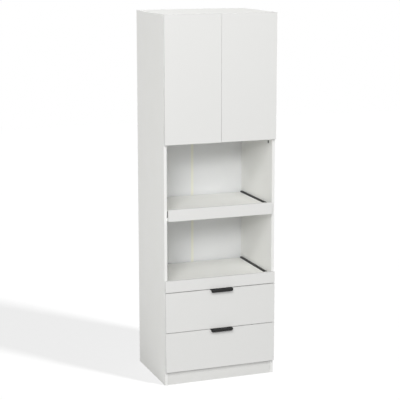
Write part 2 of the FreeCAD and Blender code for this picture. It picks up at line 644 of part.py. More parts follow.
for carried, bottom in (("drawer_upper", UPPER_DRAWER_BOTTOM), ("drawer_lower", "drawer_bottom")):
    tag = carried.title()
    front_z = (bottom, f"{bottom} + {DRAWER_HEIGHT}")
    front_x = f"{HALF} - front_margin"
    box_z = f"({bottom} + box_rise)"
    sheet_z = (f"{box_z} + box_bottom_rise", f"{box_z} + box_bottom_rise + box_bottom_sheet")
    slot_z = (f"{sheet_z[0]} - groove_fit", f"{sheet_z[1]} + groove_fit")
    front = block(f"Face{tag}", (f"-({front_x})", front_x), (FACE_FRONT, FACE_BACK), front_z)
    side_x = (f"-{MOVING_WALL}", f"-{box_inside}")
    side = block(f"BoxSide{tag}", side_x, (FACE_BACK, box_end), (box_z, f"{box_z} + {box_height}"))
    back = block(f"BoxBack{tag}", (f"-{box_inside}", box_inside), (f"{box_end} - board", box_end),
                 (box_z, f"{box_z} + {box_height}"))
    # the bottom lies in grooves on all four sides
    slot_x = f"({box_inside} + groove_depth)"
    slot_end = f"{box_end} - board + groove_depth"
    sheet_x = f"({box_inside} + {in_groove})"
    drill(f"{carried}_side", block(
        f"SideSlot{tag}", (f"-{slot_x}", f"-{box_inside}"), (FACE_BACK, slot_end), slot_z))
    drill(f"{carried}_front", block(
        f"FaceSlot{tag}", (f"-{slot_x}", slot_x), (f"{FACE_BACK} - groove_depth", FACE_BACK), slot_z))
    drill(f"{carried}_back", block(
        f"BackSlot{tag}", (f"-{slot_x}", slot_x), (f"{box_end} - board", slot_end), slot_z))
    node(f"{carried}_bottom", block(
        f"BoxBottom{tag}", (f"-{sheet_x}", sheet_x),
        (f"{FACE_BACK} - {in_groove}", f"{box_end} - board + {in_groove}"), sheet_z))
    # two cams at each corner hold the front to the sides, and the sides to the back
    corners = []
    for index, z in enumerate((f"{box_z} + corner_step", f"{box_z} + {box_height} - corner_step")):
        corners += cam_joint(f"BoxFront{tag}{index}", (f"-{box_inside}", f"{FACE_BACK} + cam_distance", z),
                             facing(AHEAD, LEFT), f"{carried}_side", f"{carried}_front_left")
        corners += cam_joint(f"BoxRear{tag}{index}", (f"-{box_inside} + cam_distance", box_end, z),
                             facing(LEFT, AHEAD), f"{carried}_back_left", f"{carried}_side")
    for level in ("front", "back"):
        for tool in both_sides(f"Holes{level}{tag}", drillings.pop(f"{carried}_{level}_left")):
            drill(f"{carried}_{level}", tool)
    fittings = moving_screws[carried] + both_sides(f"Corners{tag}", corners)
    screw_z = f"{front_z[1]} + {pull_screw_z}"
    for index, x in enumerate(PULL_SCREWS):
        place = (x, FACE_BACK, screw_z)
        fittings.append(copy_at(f"PullScrew{tag}{index}", screws["Pull"], place, ALONG["-y"]))
        drill(f"{carried}_front", rod(f"PullScrewHole{tag}{index}", HOLE, HOLE_DEPTH, place, "-y"))
    side_cut = node(f"{carried}_side_left", cut(f"BoxSideCut{tag}", side, drillings.pop(f"{carried}_side")))
    node(f"{carried}_side_right", mirror(f"BoxSideRight{tag}", side_cut))
    node(f"{carried}_back", cut(f"BoxBackCut{tag}", back, drillings.pop(f"{carried}_back")))
    node(f"{carried}_front", cut(f"FaceCut{tag}", front, drillings.pop(f"{carried}_front")))
    node(f"{carried}_pull", copy_at(f"PullAt{tag}", pull_drilled, ("0", "0", front_z[1])))
    node(f"{carried}_fixings", compound(f"Fixings{tag}", fittings))

# ---------------------------------------------------------------- doors on concealed hinges
# Everything is drawn for the left door, with the hinge's middle at z = 0. The link turns on a pin in
# the arm and carries the cup, with the door, on its other pin.
arm_x = f"(-{WALL} + arm_pivot)"
arm_y = f"({FACE_BACK} - arm_pivot_depth)"
cup_x = f"({arm_x} - link_reach)"
cup_y = f"({FACE_BACK} - cup_pivot_depth)"
cup_mid = f"(-{WALL} + cup_centre)"
cup_floor = f"({FACE_BACK} - cup_depth + cup_wall)"
lug_low = "(link_width/2 + link_play)"

cup_shell = fuse("CupShell", [
    rod("CupOutside", "cup_radius", "cup_depth", (cup_mid, FACE_BACK, "0"), "-y"),
    block("CupFlange", (f"{cup_mid} - cup_flange_width/2", f"{cup_mid} + cup_flange_width/2"),
          (FACE_BACK, f"{FACE_BACK} + cup_wall"), ("-cup_flange_length/2", "cup_flange_length/2"))])
cup_open = cut("CupOpen", cup_shell, [
    rod("CupHollow", "cup_radius - cup_wall", "cup_depth - cup_wall + through",
        (cup_mid, f"{FACE_BACK} + through", "0"), "-y")])
lugs = []
for name, low in (("Up", lug_low), ("Down", f"-{lug_low} - lug_sheet")):
    lugs.append(block(f"CupLug{name}", (f"{cup_x} - lug_half", f"{cup_x} + lug_half"),
                      (f"{cup_floor} - cup_wall/2", f"{cup_y} + lug_half"), (low, f"{low} + lug_sheet")))
PIN_HOLE = ("pin_radius + pin_play", "arm_width + 2*through")
pin_low = "-arm_width/2 - through"
cup_pin_hole = rod("CupPinHole", *PIN_HOLE, (cup_x, cup_y, pin_low))
cup = cut("Cup", fuse("CupWithLugs", [cup_open] + lugs), [cup_pin_hole])

link_bar = profile("LinkBar", "XY_Plane", (
    (arm_x, f"{arm_y} - pin_radius"), (arm_x, f"{arm_y} + pin_radius"),
    (cup_x, f"{cup_y} + pin_radius"), (cup_x, f"{cup_y} - pin_radius")), "link_width", both_ways=True)
link_pieces = [link_bar]
for end, x, y in (("Arm", arm_x, arm_y), ("Cup", cup_x, cup_y)):
    link_pieces.append(rod(
        f"Link{end}Knuckle", "pin_radius + knuckle_wall", "link_width", (x, y, "-link_width/2")))
    link_pieces.append(rod(f"Link{end}Pin", "pin_radius", "arm_width", (x, y, "-arm_width/2")))
link = fuse("HingeLink", link_pieces)

# The arm lies on its mounting plate, and its nose reaches over the front edge into the cup. The
# corners of the nose lie half its thickness to either side of the line from elbow to pivot.
elbow_x = f"(-{WALL} + arm_elbow)"
elbow_y = f"({FRONT} + arm_elbow)"
nose_length = f"sqrt(({arm_x} - {elbow_x})^2 + ({arm_y} - {elbow_y})^2)"
nose_ahead = f"(nose_half*({arm_x} - {elbow_x})/{nose_length})"
nose_across = f"(nose_half*({elbow_y} - {arm_y})/{nose_length})"
arm_under = f"(-{WALL} + plate_sheet)"
arm_over = f"({arm_under} + arm_thickness)"
arm_bar = profile("ArmBar", "XY_Plane", (
    (arm_under, f"{FRONT} + arm_tail"),
    (arm_under, f"{FRONT} + arm_shoulder"),
    (f"{elbow_x} - {nose_across}", f"{elbow_y} - {nose_ahead}"),
    (f"{arm_x} - {nose_across}", f"{arm_y} - {nose_ahead}"),
    (f"{arm_x} - {nose_across} + {nose_ahead}", f"{arm_y} - {nose_ahead} - {nose_across}"),
    (f"{arm_x} + {nose_across} + {nose_ahead}", f"{arm_y} + {nose_ahead} - {nose_across}"),
    (f"{elbow_x} + {nose_across}", f"{elbow_y} + {nose_ahead}"),
    (arm_over, f"{FRONT} + arm_shoulder"),
    (arm_over, f"{FRONT} + arm_tail")), "arm_width", both_ways=True)
arm = cut("HingeArm", arm_bar, [
    block("ArmSlot", (f"{arm_x} - arm_slot", f"{arm_x} + arm_slot"),
          (f"{arm_y} - arm_slot", f"{arm_y} + arm_slot"), (f"-{lug_low}", lug_low)),
    rod("ArmPinHole", *PIN_HOLE, (arm_x, arm_y, pin_low))])
plate_blank = block(
    "PlateBlank", (f"-{WALL}", f"-{WALL} + plate_sheet"), (f"{FRONT} + plate_front", f"{FRONT} + plate_rear"),
    ("-plate_height/2", "plate_height/2"))
PLATE_SCREWS = (("Up", "plate_screw_step"), ("Down", "-plate_screw_step"))
plate_holes = []
for name, step in PLATE_SCREWS:
    place = (f"-{WALL} - through", f"{FRONT} + system_row", step)
    plate_holes.append(rod(f"PlateHole{name}", HOLE, "plate_sheet + 2*through", place, "+x"))
plate = cut("HingePlate", plate_blank, plate_holes)

HINGES = {"Low": f"({DOOR_BOTTOM} + hinge_inset)", "High": f"({DOOR_TOP} - hinge_inset)"}
hinge_groups = {"cups": [], "links": [], "arms": [], "plates": []}
door = block("Door", (f"-{HALF} + front_margin", "-door_meeting/2"), (FACE_FRONT, FACE_BACK),
             (DOOR_BOTTOM, DOOR_TOP))
for level, z in HINGES.items():
    for kind, source in (("cups", cup), ("links", link), ("arms", arm), ("plates", plate)):
        hinge_groups[kind].append(copy_at(f"{kind.title()}{level}", source, ("0", "0", z)))
    drill("door", rod(f"CupBore{level}", "cup_radius + cup_play", "cup_depth + cup_play",
                      (cup_mid, FACE_BACK, z), "-y"))
    for name, step in PLATE_SCREWS:
        place = (f"-{WALL}", f"{FRONT} + system_row", f"{z} + {step}")
        carcass_screws.append(copy_at(f"HingeScrew{level}{name}", screws["Hinge"], place, ALONG["-x"]))
        drill("side_upper", rod(f"HingeHole{level}{name}", HOLE, HOLE_DEPTH, place, "-x"))
door_left = node("door_left", cut("DoorLeft", door, drillings.pop("door")))
node("door_right", mirror("DoorRight", door_left))
for kind in ("cups", "links"):
    left = node(f"hinge_{kind}_left", compound(f"Hinge{kind.title()}Left", hinge_groups[kind]))
    node(f"hinge_{kind}_right", mirror(f"Hinge{kind.title()}Right", left))
for kind in ("arms", "plates"):
    pairs = both_sides(f"Hinge{kind.title()}", hinge_groups[kind])
    node(f"hinge_{kind}", compound(f"Hinge{kind.title()}", pairs))

# clear buffers between each door and the carcass, near where the doors meet
buffers = []
for level, z in (("Low", "lower_height + board/2"), ("High", f"{TOP_UNDERSIDE} + board/2")):
    place = ("-buffer_offset", FRONT, z)
    buffers.append(rod(f"Buffer{level}", "buffer_radius", "buffer_thickness", place, "-y"))
node("door_buffers", compound("DoorBuffers", both_sides("Buffers", buffers)))

# ---------------------------------------------------------------- anti-tip bracket
bracket = profile("Bracket", "YZ_Plane", (
    (BACK_FACE, TOP_UNDERSIDE),
    (f"{BACK_FACE} - bracket_leg", TOP_UNDERSIDE),
    (f"{BACK_FACE} - bracket_leg", f"{TOP_UNDERSIDE} - bracket_sheet"),
    (f"{BACK_FACE} - bracket_sheet", f"{TOP_UNDERSIDE} - bracket_sheet"),
    (f"{BACK_FACE} - bracket_sheet", f"{TOP_UNDERSIDE} - bracket_leg"),
    (BACK_FACE, f"{TOP_UNDERSIDE} - bracket_leg")), "bracket_width", both_ways=True)
bracket_holes = []
bracket_screws = []
for name, x in (("Left", "-bracket_hole_spacing/2"), ("Right", "bracket_hole_spacing/2")):
    wall_place = (x, f"{BACK_FACE} - bracket_sheet - through", f"{TOP_UNDERSIDE} - bracket_hole_drop")
    wall_depth = "bracket_sheet + back_board + 2*through"
    wall_hole = rod(f"WallHole{name}", "bracket_hole_radius", wall_depth, wall_place, "+y")
    bracket_holes.append(wall_hole)
    drill("back_upper", wall_hole)
    top_place = (x, f"{BACK_FACE} - bracket_leg/2", TOP_UNDERSIDE)
    hole_place = (x, top_place[1], f"{TOP_UNDERSIDE} - bracket_sheet - through")
    bracket_holes.append(rod(f"BracketTopHole{name}", HOLE, "bracket_sheet + 2*through", hole_place))
    bracket_screws.append(copy_at(f"BracketScrew{name}", screws["Bracket"], top_place))
    drill("top_panel", rod(f"TopHole{name}", HOLE, HOLE_DEPTH, top_place))
node("wall_bracket", cut("WallBracket", bracket, bracket_holes))

# ---------------------------------------------------------------- screws and drilled boards
node("carcass_screws", compound("CarcassScrews", both_sides("Screws", carcass_screws) + bracket_screws))

for name, blank in boards.items():
    tools = drillings.pop(name, [])
    drilled = cut(f"{name.title()}Drilled", blank, tools) if tools else blank
    if name.startswith("side_"):
        level = name.split("_")[1]
        node(f"side_left_{level}", drilled)
        node(f"side_right_{level}", mirror(f"SideRight{level}", drilled))
    else:
        node(name, drilled)

# ---------------------------------------------------------------- check and write
doc.recompute()
for thing in doc.Objects:
    if "Invalid" in thing.State or "Error" in thing.State:
        raise RuntimeError(f"{thing.Name} failed: {thing.State}")
if drillings:
    raise RuntimeError(f"holes with no board: {sorted(drillings)}")
for piece in nodes:
    shape = piece.Shape
    if shape.isNull() or not shape.isValid() or not shape.Solids:
        raise RuntimeError(f"{piece.Label} has no valid solid")
for piece in nodes:
    piece.Shape.exportStep(f"parts/{piece.Label}.step")
    print(f"{piece.Label}: {len(piece.Shape.Solids)} solids, {piece.Shape.Volume / 1000:.2f} cm3")
print(len(nodes), "nodes")
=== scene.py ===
import json
import math
import bpy
import numpy as np
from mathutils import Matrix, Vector

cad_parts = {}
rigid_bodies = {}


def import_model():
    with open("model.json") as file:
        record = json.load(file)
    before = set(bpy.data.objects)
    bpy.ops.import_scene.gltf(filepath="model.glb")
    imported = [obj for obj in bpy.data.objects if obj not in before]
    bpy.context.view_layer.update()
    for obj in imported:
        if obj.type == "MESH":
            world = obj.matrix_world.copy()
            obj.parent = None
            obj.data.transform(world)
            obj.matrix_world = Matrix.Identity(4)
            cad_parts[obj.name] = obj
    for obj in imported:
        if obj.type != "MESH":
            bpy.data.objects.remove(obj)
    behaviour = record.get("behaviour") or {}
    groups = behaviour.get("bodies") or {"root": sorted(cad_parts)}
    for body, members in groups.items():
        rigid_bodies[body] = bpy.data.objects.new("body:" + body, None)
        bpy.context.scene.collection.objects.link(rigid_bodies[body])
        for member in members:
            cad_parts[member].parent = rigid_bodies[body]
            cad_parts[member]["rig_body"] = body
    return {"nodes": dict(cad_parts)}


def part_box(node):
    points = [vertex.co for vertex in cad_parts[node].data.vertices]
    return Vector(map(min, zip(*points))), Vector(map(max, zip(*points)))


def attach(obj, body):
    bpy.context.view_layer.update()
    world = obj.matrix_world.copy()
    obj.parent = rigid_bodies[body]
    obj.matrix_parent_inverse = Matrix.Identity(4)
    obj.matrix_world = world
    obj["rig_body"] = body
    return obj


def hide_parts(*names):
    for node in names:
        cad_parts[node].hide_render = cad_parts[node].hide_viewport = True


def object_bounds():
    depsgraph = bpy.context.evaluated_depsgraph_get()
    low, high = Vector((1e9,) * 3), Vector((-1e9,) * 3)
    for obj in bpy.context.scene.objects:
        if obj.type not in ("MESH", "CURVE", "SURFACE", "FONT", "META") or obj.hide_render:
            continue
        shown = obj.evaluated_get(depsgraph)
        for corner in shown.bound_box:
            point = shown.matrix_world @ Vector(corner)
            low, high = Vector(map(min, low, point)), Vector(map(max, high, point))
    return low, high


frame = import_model()
cad_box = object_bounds()

# ---------------------------------------------------------------- side panels
# Each side of the carcass is two chipboard panels, one on the other, faced on both sides with white
# melamine paper. The paper is pressed to a fine pearl, and the edges carry a plastic band whose
# corners the trimming cutter has rounded over.
MM = 0.001
SIDES = ("side_left_lower", "side_right_lower", "side_left_upper", "side_right_upper")
BOARD_WHITES = ("#F6F6F3", "#F4F4F0")
BAND_WHITES = ("#F4F4F2", "#F2F2F0")
BAND_RADIUS = 0.6 * MM
# A Mix node's colour sockets share their names with its number sockets, so they go by place.
MIX_FIRST, MIX_SECOND, MIX_RESULT = 6, 7, 2


def linear(colour):
    """A colour written as sRGB hex, in the linear values that a shader takes."""
    level = np.array([int(colour[i:i + 2], 16) for i in (1, 3, 5)]) / 255
    return (*np.where(level <= 0.04045, level / 12.92, ((level + 0.055) / 1.055) ** 2.4), 1.0)


def add(material, kind, sockets=None, **settings):
    """Adds a node. A socket takes a value, or is linked if it is given another node's output."""
    node = material.node_tree.nodes.new("ShaderNode" + kind)
    for name, value in settings.items():
        setattr(node, name, value)
    for socket, value in (sockets or {}).items():
        if isinstance(value, bpy.types.NodeSocket):
            material.node_tree.links.new(value, node.inputs[socket])
        else:
            node.inputs[socket].default_value = value
    return node


def finish(name, colours, roughness, swing, patch, grain, relief, metallic=0.0, stretch=(1, 1, 1)):
    """A surface whose tone and sheen drift slowly and whose skin has a fine grain.

    A soft noise, one patch across, mixes the two colours and moves the roughness up and down by
    the swing. A finer noise, one grain across, raises and lowers the skin by the relief. stretch
    squeezes both patterns along each axis. The sizes are in metres.
    """
    DRIFT_DETAIL, SKIN_DETAIL = 3, 2
    NOISE_LOW, NOISE_HIGH = 0.3, 0.7
    material = bpy.data.materials.new(name)
    material.use_nodes = True
    shader = material.node_tree.nodes["Principled BSDF"]
    shader.inputs["Metallic"].default_value = metallic
    place = add(material, "TexCoord").outputs["Object"]
    place = add(material, "Mapping", {"Vector": place, "Scale": stretch}).outputs["Vector"]
    drift = add(material, "TexNoise", {"Vector": place, "Scale": 1 / patch,
                                       "Detail": DRIFT_DETAIL}).outputs["Fac"]
    tone = add(material, "Mix", {"Factor": drift, MIX_FIRST: linear(colours[0]),
                                 MIX_SECOND: linear(colours[1])}, data_type="RGBA")
    sheen = add(material, "MapRange", {"Value": drift, "From Min": NOISE_LOW,
                                       "From Max": NOISE_HIGH, "To Min": roughness - swing,
                                       "To Max": roughness + swing})
    skin = add(material, "TexNoise", {"Vector": place, "Scale": 1 / grain,
                                      "Detail": SKIN_DETAIL}).outputs["Fac"]
    bump = add(material, "Bump", {"Height": skin, "Distance": relief})
    for socket, output in (("Base Color", tone.outputs[MIX_RESULT]),
                           ("Roughness", sheen.outputs["Result"]),
                           ("Normal", bump.outputs["Normal"])):
        material.node_tree.links.new(output, shader.inputs[socket])
    return material


def bring_in(data):
    """Puts a mesh, a lamp or a camera into the scene as an object of the same name."""
    made = bpy.data.objects.new(data.name, data)
    bpy.context.scene.collection.objects.link(made)
    return made


def board(name, radius, face, band, joint=None):
    """The CAD board again, with its long edges rounded over and the band's material on its edges.

    The corners of its loose triangles are merged to a micrometre. An edge of the mesh is rounded
    where it is longer than LONG and the two faces beside it stand at right angles and turn away
    from each other. An end at the height of a joint is sawn square and stays so. A face takes the
    band where it doesn't look along the board's thinnest direction.
    """
    LONG = 20 * MM
    MICROMETRE = 6  # decimals of a metre
    SQUARE = 0.1  # faces whose normals' product is under this stand at right angles
    BROAD = 0.9  # a face whose normal has this much of the thinnest direction is a broad one
    CREASE = math.cos(math.radians(30))
    node = frame["nodes"][name]
    place = np.empty(len(node.data.vertices) * 3, np.float32)
    node.data.vertices.foreach_get("co", place)
    corner = np.empty(len(node.data.loops), int)
    node.data.loops.foreach_get("vertex_index", corner)
    points, merged = np.unique(place.reshape(-1, 3).round(MICROMETRE), axis=0, return_inverse=True)
    triangles = merged.reshape(-1)[corner].reshape(-1, 3)
    mesh = bpy.data.meshes.new(name + "_panel")
    mesh.from_pydata(points, [], triangles)

    ends = np.empty(len(mesh.edges) * 2, int)
    mesh.edges.foreach_get("vertices", ends)
    length = np.linalg.norm(points[ends[0::2]] - points[ends[1::2]], axis=1)
    # The shell is closed, so each edge holds two corners. Sorted by edge, they give its two faces.
    loop_edge = np.empty(len(mesh.loops), int)
    mesh.loops.foreach_get("edge_index", loop_edge)
    beside, facing = (np.argsort(loop_edge, kind="stable").reshape(-1, 2) // 3).T
    a, b, c = points[triangles].transpose(1, 0, 2)
    normal = np.cross(b - a, c - a)
    normal /= np.linalg.norm(normal, axis=1)[:, None]
    centre = (a + b + c) / 3
    turn = (normal[beside] * normal[facing]).sum(axis=1)
    outward = ((centre[facing] - centre[beside]) * normal[beside]).sum(axis=1) < 0
    rounded = (length > LONG) & (np.abs(turn) < SQUARE) & outward
    if joint is not None:
        rounded &= np.abs(points[ends.reshape(-1, 2), 2] - joint).max(axis=1) > MM
    weight = mesh.attributes.new("bevel_weight_edge", "FLOAT", "EDGE")
    weight.data.foreach_set("value", rounded.astype(float))
    sharp = mesh.attributes.new("sharp_edge", "BOOLEAN", "EDGE")
    sharp.data.foreach_set("value", (turn < CREASE) & ~rounded)
    mesh.polygons.foreach_set("use_smooth", np.ones(len(triangles), bool))

    thinnest = np.argmin(np.ptp(points, axis=0))
    banded = np.abs(normal[:, thinnest]) < BROAD
    mesh.materials.append(face)
    mesh.materials.append(band)
    mesh.polygons.foreach_set("material_index", banded.astype(np.int32))
    piece = bring_in(mesh)
    bevel = piece.modifiers.new("rounded over", "BEVEL")
    bevel.limit_method = "WEIGHT"
    bevel.width = radius
    bevel.segments = 3
    bevel.use_clamp_overlap = False
    bevel.harden_normals = True
    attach(piece, node["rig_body"])
    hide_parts(name)


# The pearl is about 0.4 mm across and some hundredths deep. It is drawn five times coarser to show.
melamine = finish("melamine_faced_board_pearl_white", BOARD_WHITES, 0.46, 0.04,
                  patch=90 * MM, grain=2 * MM, relief=0.03 * MM)
# The band is the same white, extruded and buffed after trimming, so it is smoother than the faces.
banding = finish("abs_edge_band_buffed_white", BAND_WHITES, 0.36, 0.03,
                 patch=60 * MM, grain=3 * MM, relief=0.01 * MM)
# The two panels of a side meet at this height.
side_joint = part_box("side_left_lower")[1].z
for panel in SIDES:
    board(panel, BAND_RADIUS, melamine, banding, side_joint)

# ---------------------------------------------------------------- boards between the sides
# The top, the cupboard's floor, the fixed shelves, the bottom and the plinths are the same board as
# the sides, and cam locks pull them tight between them. The cupboard's shelf lies loose on pins.
for panel in ("top_panel", "cupboard_floor", "upper_fixed_shelf", "lower_fixed_shelf",
              "bottom_panel", "plinth_rear", "cupboard_shelf"):
    board(panel, BAND_RADIUS, melamine, banding)
# The front plinth is faced in a slightly deeper white, to go with the fronts above it, and the
# deeper tone is also painted shade at the cabinet's foot. Its pearl is drawn as coarse as the
# boards' one.
plinth_foil_painted_shade = finish("melamine_faced_plinth_white_painted_shade", ("#E6E6E4", "#E3E3E0"), 0.42, 0.04,
                     patch=70 * MM, grain=2 * MM, relief=0.03 * MM)
board("plinth_front", BAND_RADIUS, plinth_foil_painted_shade, plinth_foil_painted_shade)


# ---------------------------------------------------------------- cam locks, bolts, pins and screws
# Die-cast zinc cams turn in pockets in the boards and draw on steel bolts. Steel pins carry the
# loose shelf, and steel screws hold the slides, the hinge plates and the bracket.
def dress(names, material):
    """Gives CAD nodes, which keep their shape, a material."""
    for name in names:
        for held in frame["nodes"][name].material_slots:
            held.material = material


# Cast zinc is a dull bluish grey. Tumbling leaves dents just under a millimetre across.
zinc = finish("die_cast_zinc_tumbled", ("#B4B6B9", "#A3A6AA"), 0.42, 0.08,
              patch=6 * MM, grain=0.8 * MM, relief=0.02 * MM, metallic=1.0)
# Screws and bolts are bright zinc-plated steel, with the plating's slight cloudiness.
plated_steel = finish("zinc_plated_steel_bright", ("#C6C7C9", "#B6B8BB"), 0.28, 0.06,
                      patch=4 * MM, grain=0.5 * MM, relief=0.005 * MM, metallic=1.0)
dress(("cam_locks", "wall_bracket", "pullout_upper_fixings", "pullout_lower_fixings",
       "drawer_upper_fixings", "drawer_lower_fixings"), zinc)
dress(("cam_bolts", "shelf_pins", "carcass_screws"), plated_steel)


# ---------------------------------------------------------------- caps over the cams that show
# The cams under the cupboard show in the upper bay, so each has a dark grey snap-on cap, moulded
# with a shallow crown and a rounded rim.
def buttons(name, centres, axis, radius, height, material):
    """Round crowned discs, one on each centre, standing on a wall and rising along the axis.

    Each is a profile turned about the axis: a rim that rises a third of the height, a quarter
    circle over the rim's edge, and a crown that follows a parabola up to the full height in the
    middle, where a fan of triangles closes it.
    """
    AROUND, RISE = 32, 5
    rim = height / 3
    over = np.linspace(0, np.pi / 2, RISE)
    inner = np.linspace(radius - rim, 0, RISE)[1:-1]
    crown = 2 * rim + rim * (1 - (inner / (radius - rim)) ** 2)
    reach = np.concatenate([[radius], radius - rim + rim * np.cos(over), inner])
    level = np.concatenate([[0], rim + rim * np.sin(over), crown])
    turn = np.linspace(0, 2 * np.pi, AROUND, endpoint=False)
    axis = np.array(axis, float)
    side = np.array([0.0, 0.0, 1.0])
    ring = np.cos(turn)[:, None] * side + np.sin(turn)[:, None] * np.cross(axis, side)
    rings = reach[:, None, None] * ring + level[:, None, None] * axis
    disc = np.concatenate([rings.reshape(-1, 3), [height * axis]])
    index = np.arange(len(reach) * AROUND).reshape(-1, AROUND)
    nearer, further, last = index[:-1], index[1:], index[-1]
    quads = np.stack([nearer, np.roll(nearer, -1, 1), np.roll(further, -1, 1), further], -1)
    fan = np.stack([last, np.roll(last, -1), np.full(AROUND, index.size)], -1)
    first = np.arange(len(centres))[:, None, None] * len(disc)
    points = (np.array(centres)[:, None] + disc).reshape(-1, 3)
    quads = (quads.reshape(-1, 4) + first).reshape(-1, 4)
    fans = (fan + first).reshape(-1, 3)
    mesh = bpy.data.meshes.new(name)
    mesh.from_pydata(points, [], quads.tolist() + fans.tolist())
    mesh.polygons.foreach_set("use_smooth", np.ones(len(mesh.polygons), bool))
    mesh.materials.append(material)
    piece = bring_in(mesh)
    return piece


CAP_HEIGHT = 1.2 * MM
low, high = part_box("cam_caps")
cap_radius = (high.z - low.z) / 2
cap_rows = (low.y + cap_radius, high.y - cap_radius)
# Moulded polypropylene, dark grey, with the low sheen of a spark-eroded mould.
cap_plastic = finish("moulded_polypropylene_dark_grey", ("#5A5A58", "#525251"), 0.5, 0.05,
                     patch=5 * MM, grain=0.6 * MM, relief=0.02 * MM)
for hand, wall, inward in (("left", low.x, 1), ("right", high.x, -1)):
    caps = buttons(f"cam_caps_{hand}", [(wall, y, low.z + cap_radius) for y in cap_rows],
                   (inward, 0, 0), cap_radius, CAP_HEIGHT, cap_plastic)
    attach(caps, "carcass")
    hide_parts("cam_caps")

# ---------------------------------------------------------------- hardboard back and joint strip
# Three sheets of 3 mm hardboard slide into grooves in the sides. The lower two meet behind the bays
# in an extruded strip. The sheets are lacquered a cooler white than the boards. The strip is ivory,
# and its white is pushed past a plastic's as painted highlight.
# The lacquer follows the pressed fibres, some 1.5 mm apart.
hardboard = finish("lacquered_hardboard_cool_white", ("#F4F5F5", "#F2F3F4"), 0.55, 0.05,
                   patch=40 * MM, grain=1.5 * MM, relief=0.04 * MM)
# The strip's faint lines run up and down, the way it left the die.
# The ivory tint is the strip's own, but its near-full white is painted highlight, brighter than the
# plastic, making up for the shade that its own profile puts on it.
ivory_strip_painted_bright = finish("extruded_pvc_ivory_painted_highlight", ("#FBFBF0", "#F8F8EA"), 0.4, 0.04,
                       patch=30 * MM, grain=2 * MM, relief=0.01 * MM, stretch=(1, 1, 0.1))
dress(("back_upper", "back_lower_left", "back_lower_right"), hardboard)
dress(("back_joint_strip",), ivory_strip_painted_bright)

# ---------------------------------------------------------------- ball-bearing slides
# Roll-formed steel in three members, blackened by electro-coating. The outer ones are screwed to
# the sides, and the inner ones to the pull-out shelves and drawers.
MOVING = ("pullout_upper", "pullout_lower", "drawer_upper", "drawer_lower")
# The thin coat shows the faint lines of the rolls, along the slide.
slide_black = finish("electro_coated_steel_black", ("#1A1B1B", "#151616"), 0.42, 0.06,
                     patch=25 * MM, grain=0.8 * MM, relief=0.01 * MM, stretch=(1, 0.1, 1))
dress(("slide_outer_members",), slide_black)
for moving in MOVING:
    dress((f"{moving}_slide_middle", f"{moving}_slide_inner"), slide_black)

# ---------------------------------------------------------------- pull-out shelves
# A melamine board rides on a pair of slides in each bay, and a lacquered apron across its front
# hides them. The aprons and the other fronts are smooth lacquered board with fuller edges.
FRONT_WHITES = ("#E9E9E7", "#E7E7E5")
FRONT_RADIUS = 1.0 * MM
# Sprayed lacquer keeps a faint orange peel, some 3 mm across.
lacquer = finish("sprayed_satin_lacquer_white", FRONT_WHITES, 0.36, 0.03,
                 patch=150 * MM, grain=3 * MM, relief=0.015 * MM)
for moving in ("pullout_upper", "pullout_lower"):
    board(f"{moving}_board", BAND_RADIUS, melamine, banding)
    board(f"{moving}_apron", FRONT_RADIUS, lacquer, lacquer)

# ---------------------------------------------------------------- drawers
# Each drawer is a box of melamine board round a hardboard bottom, with a lacquered front that is
# wider than the box and stands clear of the carcass.
DRAWERS = ("drawer_upper", "drawer_lower")
for moving in DRAWERS:
    for part in ("side_left", "side_right", "back"):
        board(f"{moving}_{part}", BAND_RADIUS, melamine, banding)
    board(f"{moving}_front", FRONT_RADIUS, lacquer, lacquer)
    dress((f"{moving}_bottom",), hardboard)


# ---------------------------------------------------------------- drawer pulls
# A pull is one steel sheet, folded over the drawer front's upper edge: a flange screwed on behind,
# a plate on top, and a lip in front with round lower corners. It is powder coated in matt black.
def folded_sheet(name, lowest, highest, flange, lip, bend, corner):
    """A sheet carried along a folded path, wider or narrower as it goes.

    The path is the sheet's outer side: up the flange, a quarter circle, forward along the plate, a
    quarter circle, and down the lip. Across it the sheet is the full width, but within one corner
    radius of the lip's end its half width follows a quarter circle.
    """
    BEND_STEPS, CORNER_STEPS, ACROSS = 6, 10, 9
    middle, half = (lowest.x + highest.x) / 2, (highest.x - lowest.x) / 2
    turn = np.linspace(0, np.pi / 2, BEND_STEPS)
    trim = np.linspace(np.pi / 2, 0, CORNER_STEPS)
    path_y = np.concatenate([[highest.y],
                             highest.y - bend + bend * np.cos(turn),
                             lowest.y + bend - bend * np.sin(turn),
                             np.full(CORNER_STEPS, lowest.y)])
    path_z = np.concatenate([[highest.z - flange],
                             highest.z - bend + bend * np.sin(turn),
                             highest.z - bend + bend * np.cos(turn),
                             highest.z - lip + corner * (1 - np.cos(trim))])
    wide = np.concatenate([np.full(len(path_y) - CORNER_STEPS, half),
                           half - corner + corner * np.sin(trim)])
    across = np.linspace(-1, 1, ACROSS)
    points = np.stack([middle + wide[:, None] * across,
                       np.repeat(path_y[:, None], ACROSS, 1),
                       np.repeat(path_z[:, None], ACROSS, 1)], -1).reshape(-1, 3)
    index = np.arange(len(points)).reshape(-1, ACROSS)
    corners = [index[1:, :-1], index[1:, 1:], index[:-1, 1:], index[:-1, :-1]]
    mesh = bpy.data.meshes.new(name)
    mesh.from_pydata(points, [], np.stack(corners, -1).reshape(-1, 4))
    mesh.polygons.foreach_set("use_smooth", np.ones(len(mesh.polygons), bool))
    return bring_in(mesh)


PULL_FLANGE, PULL_LIP = 18 * MM, 14 * MM
PULL_BEND, PULL_CORNER = 2.5 * MM, 10 * MM
PULL_SHEET, PULL_EDGE = 1.5 * MM, 0.25 * MM
PULL_EDGE_ANGLE = 50
POWDER_SPECULAR = 0.3
